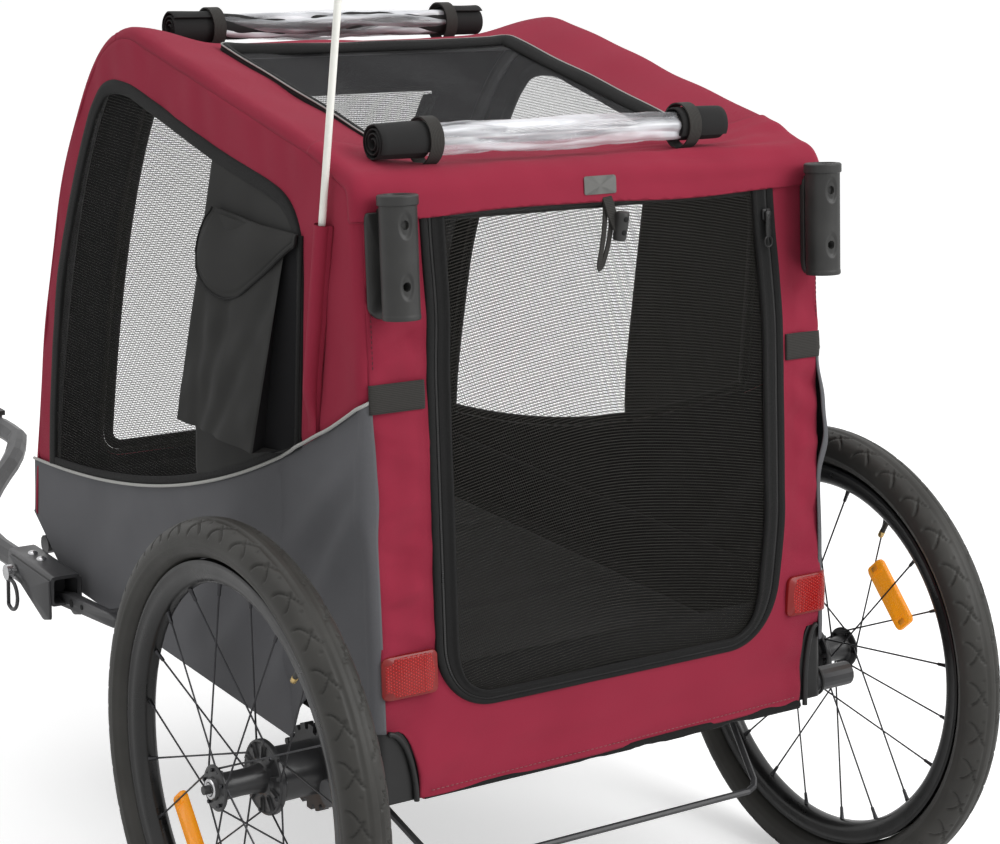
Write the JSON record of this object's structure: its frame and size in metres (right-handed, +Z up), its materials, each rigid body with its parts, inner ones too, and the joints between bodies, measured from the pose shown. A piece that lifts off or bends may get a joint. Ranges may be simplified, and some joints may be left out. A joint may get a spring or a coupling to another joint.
{
  "type": "bicycle trailer",
  "caption": "Two-wheeled fabric pet trailer with mesh doors and windows, rolled rain covers, handle sockets, parking brake, flag and a side drawbar for a bicycle.",
  "frame": {"origin": "centre of the bounding box, on the ground", "axes": "+Y forward to the bicycle, +Z up, +X to the right of travel"},
  "size_m": [0.796, 1.3596, 1.3484],
  "materials": {
    "tyre": "matte rubber with moulded tread",
    "rim": "satin black",
    "hub": "satin black",
    "steel": "ground",
    "button": "moulded",
    "orange_lens": "prismatic lens",
    "frame_black": "powder coat",
    "floor_board": "coated cloth over board",
    "floor_mat": "woven",
    "brake_wire": "black zinc",
    "burgundy_cloth": "coated polyester",
    "grey_cloth": "coated polyester",
    "black_mesh": "open mesh",
    "zip_metal": "black",
    "socket_plastic": "moulded",
    "red_lens": "prismatic lens",
    "corner_plastic": "moulded",
    "pocket_cloth": "coated polyester",
    "rolled_cover": "rolled film with cloth ends",
    "pole": "glass fibre",
    "pennant_cloth": "nylon",
    "drawbar_black": "powder coat",
    "hitch_plastic": "moulded",
    "pin_steel": "ground"
  },
  "bodies": {
    "cabin": {"axle_beam": "frame_black", "drawbar": "drawbar_black", "drawbar_bracket": "drawbar_black", "flag_sleeve": "burgundy_cloth", "floor_mat": "floor_mat", "floor_panel": "floor_board", "front_cover": "burgundy_cloth", "front_cross_tube": "frame_black", "front_rolled_cover": "rolled_cover", "front_roof_bar": "frame_black", "left_axle": "steel", "left_corner_cover": "corner_plastic", "left_handle_socket": "socket_plastic", "left_hoop": "frame_black", "left_lower_panel": "grey_cloth", "left_pocket": "pocket_cloth", "left_rear_post": "frame_black", "left_rear_reflector": "red_lens", "left_side_cover": "burgundy_cloth", "left_side_mesh": "black_mesh", "left_side_tube": "frame_black", "rear_cover": "burgundy_cloth", "rear_cross_tube": "frame_black", "rear_rolled_cover": "rolled_cover", "rear_roof_bar": "frame_black", "right_axle": "steel", "right_corner_cover": "corner_plastic", "right_handle_socket": "socket_plastic", "right_hoop": "frame_black", "right_lower_panel": "grey_cloth", "right_pocket": "pocket_cloth", "right_rear_post": "frame_black", "right_rear_reflector": "red_lens", "right_side_cover": "burgundy_cloth", "right_side_mesh": "black_mesh", "right_side_tube": "frame_black", "roof_cover": "burgundy_cloth", "roof_mesh": "black_mesh"},
    "left_wheel": {"left_tyre": "tyre", "left_rim": "rim", "left_hub": "hub", "left_spoke_reflector": "orange_lens"},
    "right_wheel": {"right_tyre": "tyre", "right_rim": "rim", "right_hub": "hub", "right_spoke_reflector": "orange_lens"},
    "left_button": {"left_axle_button": "button"},
    "right_button": {"right_axle_button": "button"},
    "brake_lever": {"brake_bar": "brake_wire"},
    "clip_pin": {"drawbar_pin": "pin_steel"},
    "hitch_swivel": {"hitch_block": "hitch_plastic"},
    "hitch_jaw": {"hitch_fork": "hitch_plastic"},
    "flag": {"flag_pole": "pole", "pennant": "pennant_cloth"},
    "rear_flap_door": {"rear_door": "black_mesh"},
    "zip_pull": {"rear_zip_slider": "zip_metal"},
    "front_flap_door": {"front_door": "black_mesh"},
    "left_flap": {"left_pocket_flap": "pocket_cloth"},
    "right_flap": {"right_pocket_flap": "pocket_cloth"}
  },
  "joints": [
    {"name": "left_wheel_spin", "type": "hinge", "parent": "cabin", "child": "left_wheel", "pos_m": [-0.361, -0.43225, 0.2475], "axis": [1, 0, 0], "continuous": true},
    {"name": "right_wheel_spin", "type": "hinge", "parent": "cabin", "child": "right_wheel", "pos_m": [0.361, -0.43225, 0.2475], "axis": [1, 0, 0], "continuous": true},
    {"name": "left_button_press", "type": "slide", "parent": "cabin", "child": "left_button", "axis": [1, 0, 0], "range_m": [0, 0.004], "stiffness_N_per_m": 400},
    {"name": "right_button_press", "type": "slide", "parent": "cabin", "child": "right_button", "axis": [-1, 0, 0], "range_m": [0, 0.004], "stiffness_N_per_m": 400},
    {"name": "brake_bar_turn", "type": "hinge", "parent": "cabin", "child": "brake_lever", "pos_m": [0, -0.38855, 0.2378], "axis": [1, 0, 0], "range_deg": [-6, 26]},
    {"name": "clip_pin_pull", "type": "slide", "parent": "cabin", "child": "clip_pin", "axis": [-1, 0, 0], "range_m": [0, 0.045]},
    {"name": "hitch_roll", "type": "hinge", "parent": "cabin", "child": "hitch_swivel", "pos_m": [-0.156, 0.61275, 0.306], "axis": [0, 1, 0], "range_deg": [-45, 45]},
    {"name": "hitch_yaw", "type": "hinge", "parent": "hitch_swivel", "child": "hitch_jaw", "pos_m": [-0.156, 0.62975, 0.306], "axis": [0, 0, 1], "range_deg": [-60, 60]},
    {"name": "flag_lift", "type": "slide", "parent": "cabin", "child": "flag", "axis": [0, -0.0995, 0.995], "range_m": [0, 0.12]},
    {"name": "rear_door_lift", "type": "hinge", "parent": "cabin", "child": "rear_flap_door", "pos_m": [0, -0.46648, 0.7745], "axis": [-1, 0, 0], "range_deg": [0, 100]},
    {"name": "zip_run", "type": "slide", "parent": "rear_flap_door", "child": "zip_pull", "axis": [0, -0.1227, -0.9924], "range_m": [0, 0.36]},
    {"name": "front_door_lift", "type": "hinge", "parent": "cabin", "child": "front_flap_door", "pos_m": [0, 0.11354, 0.79939], "axis": [1, 0, 0], "range_deg": [0, 95]},
    {"name": "left_flap_lift", "type": "hinge", "parent": "cabin", "child": "left_flap", "pos_m": [-0.2814, -0.29325, 0.741], "axis": [0, 1, 0], "range_deg": [0, 120]},
    {"name": "right_flap_lift", "type": "hinge", "parent": "cabin", "child": "right_flap", "pos_m": [0.2814, -0.29325, 0.741], "axis": [0, -1, 0], "range_deg": [0, 120]}
  ]
}
